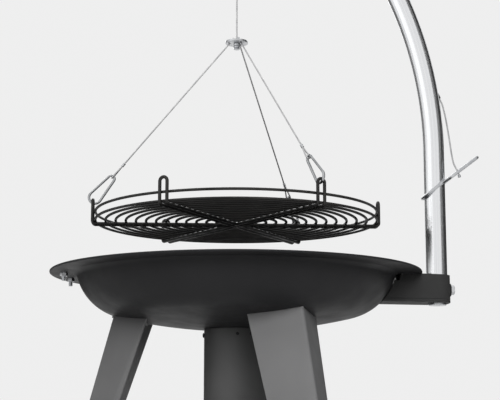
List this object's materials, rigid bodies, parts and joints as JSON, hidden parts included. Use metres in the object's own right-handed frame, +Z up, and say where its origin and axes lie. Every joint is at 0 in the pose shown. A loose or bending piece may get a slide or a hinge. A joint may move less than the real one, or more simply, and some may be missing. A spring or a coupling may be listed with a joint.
{
  "type": "swivel charcoal grill",
  "caption": "Steel fire bowl on folded legs with a bent swivelling gallows that hangs a round ring grate on a cable over the coals.",
  "frame": {"origin": "on the ground, on the fire bowl's axis, at the centre of the circle of peg holes in the foot plates", "axes": "+Z up along the bowl's axis, +X from the bowl's axis to the gallows, +Y to the rear of the picture"},
  "size_m": [0.8384, 0.7, 1.555],
  "materials": {
    "bowl_black": "satin heat-resistant paint",
    "leg_grey": "satin heat-resistant paint",
    "grate_black": "seasoned, dull black",
    "stainless": "polished tube",
    "cable_steel": "bright stranded cable",
    "zinc": "bright zinc",
    "black_plastic": "matt moulded"
  },
  "bodies": {
    "stand": {"fire_bowl": "bowl_black", "leg_left": "leg_grey", "leg_front": "leg_grey", "leg_rear": "leg_grey", "foot_plates": "leg_grey", "leg_bolts": "zinc", "leg_nuts": "zinc", "ash_collar": "bowl_black", "ash_pot": "bowl_black", "ash_pot_screws": "zinc", "ash_grid": "grate_black", "rim_screws": "zinc", "rim_screw_nuts": "zinc", "bracket_strap": "bowl_black", "bracket_floor": "bowl_black", "bracket_roof": "bowl_black", "bracket_bolts": "zinc", "bracket_nuts": "zinc", "clamp_boss": "bowl_black"},
    "clamp_screw": {"clamp_bolt": "zinc"},
    "gallows": {"gallows_pole": "stainless", "pole_foot": "zinc", "pole_cap": "black_plastic", "exit_grommet": "black_plastic", "roller_pin": "zinc", "cable_inside": "cable_steel"},
    "roller": {"tip_roller": "black_plastic"},
    "lever": {"clamp_lever": "zinc", "tail_stop": "zinc", "cable_tail": "cable_steel"},
    "carrier": {"cable_drop": "cable_steel", "drop_stop": "zinc"},
    "grate": {"hanger_plate": "zinc", "wires": "cable_steel", "wire_ferrules": "zinc", "hook_left": "zinc", "hook_front": "zinc", "hook_rear": "zinc", "grate_rings": "grate_black", "grate_rail": "grate_black", "grate_frames": "grate_black"},
    "gate_left_body": {"gate_left": "zinc"},
    "gate_front_body": {"gate_front": "zinc"},
    "gate_rear_body": {"gate_rear": "zinc"}
  },
  "joints": [
    {"name": "gallows_swivel", "type": "hinge", "parent": "stand", "child": "gallows", "pos_m": [0.3805, 0, 0.55], "axis": [0, 0, 1], "continuous": true},
    {"name": "clamp_turn", "type": "hinge", "parent": "stand", "child": "clamp_screw", "pos_m": [0.41, 0, 0.56932], "axis": [1, 0, 0], "range_deg": [-360, 360]},
    {"name": "grate_lift", "type": "slide", "parent": "gallows", "child": "carrier", "axis": [0, 0, 1], "range_m": [-0.06, 0.13], "deforming": ["cable_drop"]},
    {"name": "lever_slide", "type": "slide", "parent": "gallows", "child": "lever", "axis": [0, 0, 1], "range_m": [-0.131, 0.061], "deforming": ["cable_tail"]},
    {"name": "roller_turn", "type": "hinge", "parent": "gallows", "child": "roller", "pos_m": [0.009, 0, 1.50727], "axis": [0, 1, 0], "range_deg": [-385, 832]},
    {"name": "grate_spin", "type": "hinge", "parent": "carrier", "child": "grate", "pos_m": [0, 0, 1.05], "axis": [0, 0, 1], "continuous": true},
    {"name": "gate_left_hinge", "type": "hinge", "parent": "grate", "child": "gate_left_body", "pos_m": [-0.24305, -0.01189, 0.78491], "axis": [0.0489, -0.9988, 0], "range_deg": [0, 20], "stiffness_Nm_per_rad": 0.03, "springref_deg": -17.19},
    {"name": "gate_front_hinge", "type": "hinge", "parent": "grate", "child": "gate_front_body", "pos_m": [0.13182, -0.20454, 0.78491], "axis": [0.8406, 0.5417, 0], "range_deg": [0, 20], "stiffness_Nm_per_rad": 0.03, "springref_deg": -17.19},
    {"name": "gate_rear_hinge", "type": "hinge", "parent": "grate", "child": "gate_rear_body", "pos_m": [0.11123, 0.21643, 0.78491], "axis": [-0.8894, 0.4571, 0], "range_deg": [0, 20], "stiffness_Nm_per_rad": 0.03, "springref_deg": -17.19}
  ],
  "couplings": [
    {"joint": "lever_slide", "follows": "grate_lift", "ratio": -1},
    {"joint": "roller_turn", "follows": "grate_lift", "rad_per_m": 111.11}
  ]
}
